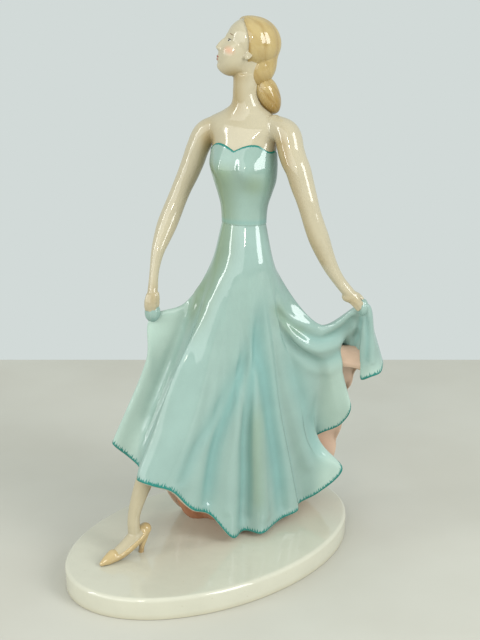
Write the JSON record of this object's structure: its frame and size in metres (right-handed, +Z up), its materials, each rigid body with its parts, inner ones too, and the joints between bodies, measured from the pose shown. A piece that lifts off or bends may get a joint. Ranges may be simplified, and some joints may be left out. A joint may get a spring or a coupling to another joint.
{
  "type": "porcelain lady figurine",
  "caption": "Glazed porcelain dancer in a strapless ball gown, holding her skirt wide in both hands as she steps forward on a low oval plinth.",
  "frame": {"origin": "centre of the oval plinth's underside", "axes": "+Z up, +X along the plinth's long side away from the stepping foot, -Y the front"},
  "size_m": [0.166, 0.1124, 0.2684],
  "materials": {
    "lady_glaze": "gloss glaze over airbrushed mint green, flesh, salmon and blond underglaze colours",
    "plinth_glaze": "gloss ivory glaze"
  },
  "bodies": {
    "root": {"lady_figure": "lady_glaze", "oval_plinth": "plinth_glaze"}
  },
  "joints": []
}
